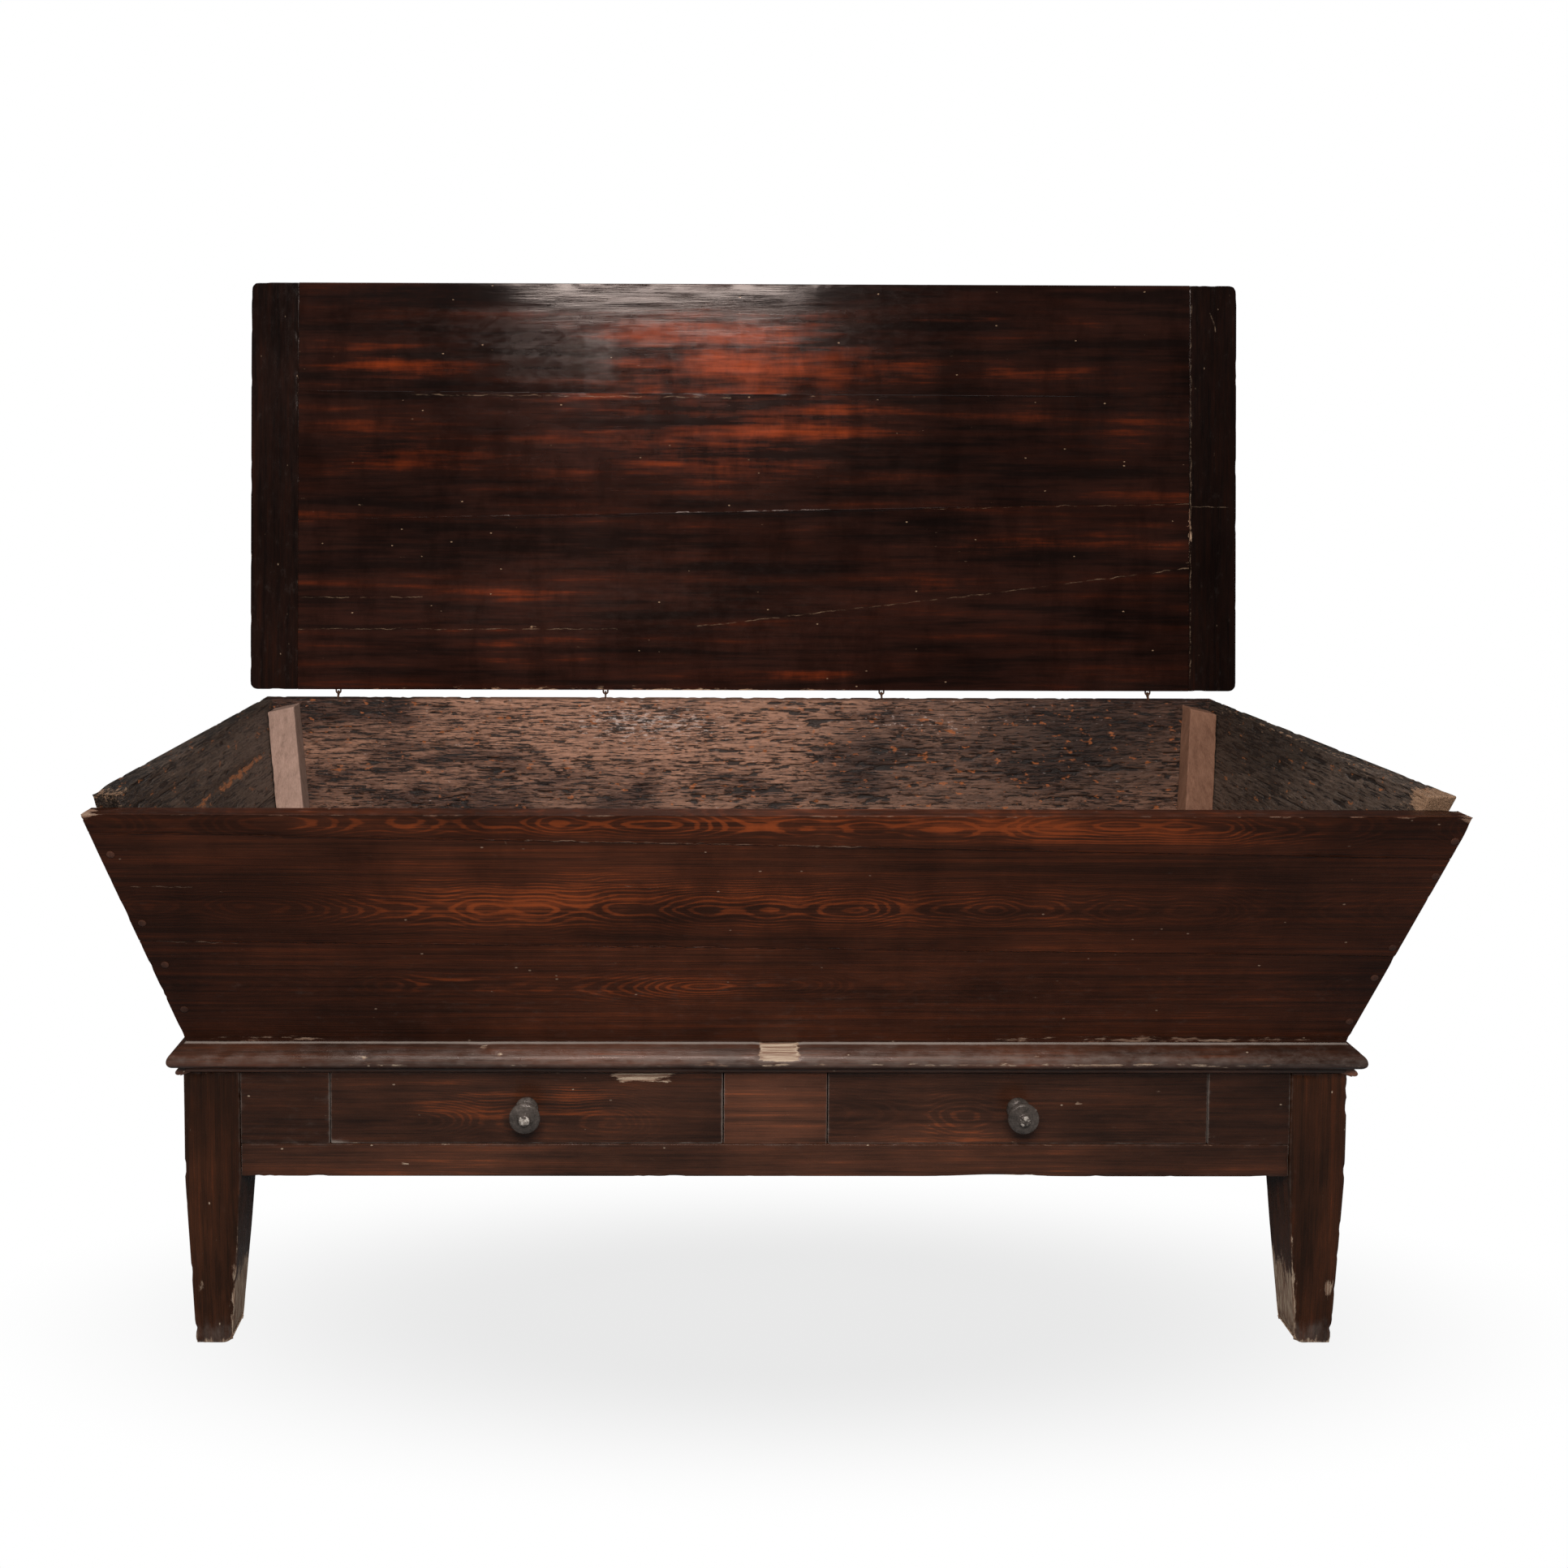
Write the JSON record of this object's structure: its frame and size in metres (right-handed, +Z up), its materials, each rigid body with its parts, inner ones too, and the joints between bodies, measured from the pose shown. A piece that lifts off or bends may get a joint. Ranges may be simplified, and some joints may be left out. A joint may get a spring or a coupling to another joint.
{
  "type": "dough box",
  "caption": "Long flared wooden kneading trough with a lid on wire eye hinges, on a stand with tapered legs, a moulded frame and drawers with turned knobs.",
  "frame": {"origin": "on the floor, at the middle of the object's length and depth with the lid open", "axes": "+X along the trough to the viewer's right, +Y from the front to the back, +Z up"},
  "size_m": [1.6616, 0.7026, 1.4664],
  "materials": {
    "stained_pine": "dark red-brown stain, rubbed satin",
    "lid_pine": "dark red-brown stain with red and black streaks, satin",
    "pitted_pine": "bare grey-brown, pitted and dry",
    "newer_batten": "newer bare wood, pinkish brown",
    "raw_drawer_pine": "bare pine, aged",
    "turned_knob": "dark stain, polished by use",
    "hinge_iron": "rusted iron wire"
  },
  "bodies": {
    "stand": {"back_apron": "stained_pine", "back_floor_board": "pitted_pine", "back_left_leg": "stained_pine", "back_lower_board": "pitted_pine", "back_moulding": "stained_pine", "back_right_leg": "stained_pine", "back_upper_board": "pitted_pine", "front_floor_board": "pitted_pine", "front_left_leg": "stained_pine", "front_lower_board": "stained_pine", "front_middle_board": "stained_pine", "front_moulding": "stained_pine", "front_rail": "stained_pine", "front_right_leg": "stained_pine", "front_top_strip": "stained_pine", "left_apron": "stained_pine", "left_batten": "newer_batten", "left_block": "stained_pine", "left_drawer_left_runner": "raw_drawer_pine", "left_drawer_right_runner": "raw_drawer_pine", "left_end_lower_board": "pitted_pine", "left_end_upper_board": "pitted_pine", "left_moulding": "stained_pine", "lower_eye_1": "hinge_iron", "lower_eye_2": "hinge_iron", "lower_eye_3": "hinge_iron", "lower_eye_4": "hinge_iron", "middle_block": "stained_pine", "right_apron": "stained_pine", "right_batten": "newer_batten", "right_block": "stained_pine", "right_drawer_left_runner": "raw_drawer_pine", "right_drawer_right_runner": "raw_drawer_pine", "right_end_board": "pitted_pine", "right_moulding": "stained_pine"},
    "lid": {"lid_front_board": "lid_pine", "lid_left_cleat": "lid_pine", "lid_middle_board": "lid_pine", "lid_rear_board": "lid_pine", "lid_right_cleat": "lid_pine", "upper_eye_1": "hinge_iron", "upper_eye_2": "hinge_iron", "upper_eye_3": "hinge_iron", "upper_eye_4": "hinge_iron"},
    "left_drawer": {"left_drawer_front": "stained_pine", "left_drawer_left_side": "raw_drawer_pine", "left_drawer_right_side": "raw_drawer_pine", "left_drawer_back": "raw_drawer_pine", "left_drawer_bottom": "raw_drawer_pine", "left_drawer_knob": "turned_knob"},
    "right_drawer": {"right_drawer_front": "stained_pine", "right_drawer_left_side": "raw_drawer_pine", "right_drawer_right_side": "raw_drawer_pine", "right_drawer_back": "raw_drawer_pine", "right_drawer_bottom": "raw_drawer_pine", "right_drawer_knob": "turned_knob"}
  },
  "joints": [
    {"name": "lid_hinge", "type": "hinge", "parent": "stand", "child": "lid", "pos_m": [0, 0.30417, 0.775], "axis": [1, 0, 0], "range_deg": [0, 92.5]},
    {"name": "left_drawer_slide", "type": "slide", "parent": "stand", "child": "left_drawer", "axis": [0, -1, 0], "range_m": [0, 0.3]},
    {"name": "right_drawer_slide", "type": "slide", "parent": "stand", "child": "right_drawer", "axis": [0, -1, 0], "range_m": [0, 0.3]}
  ]
}
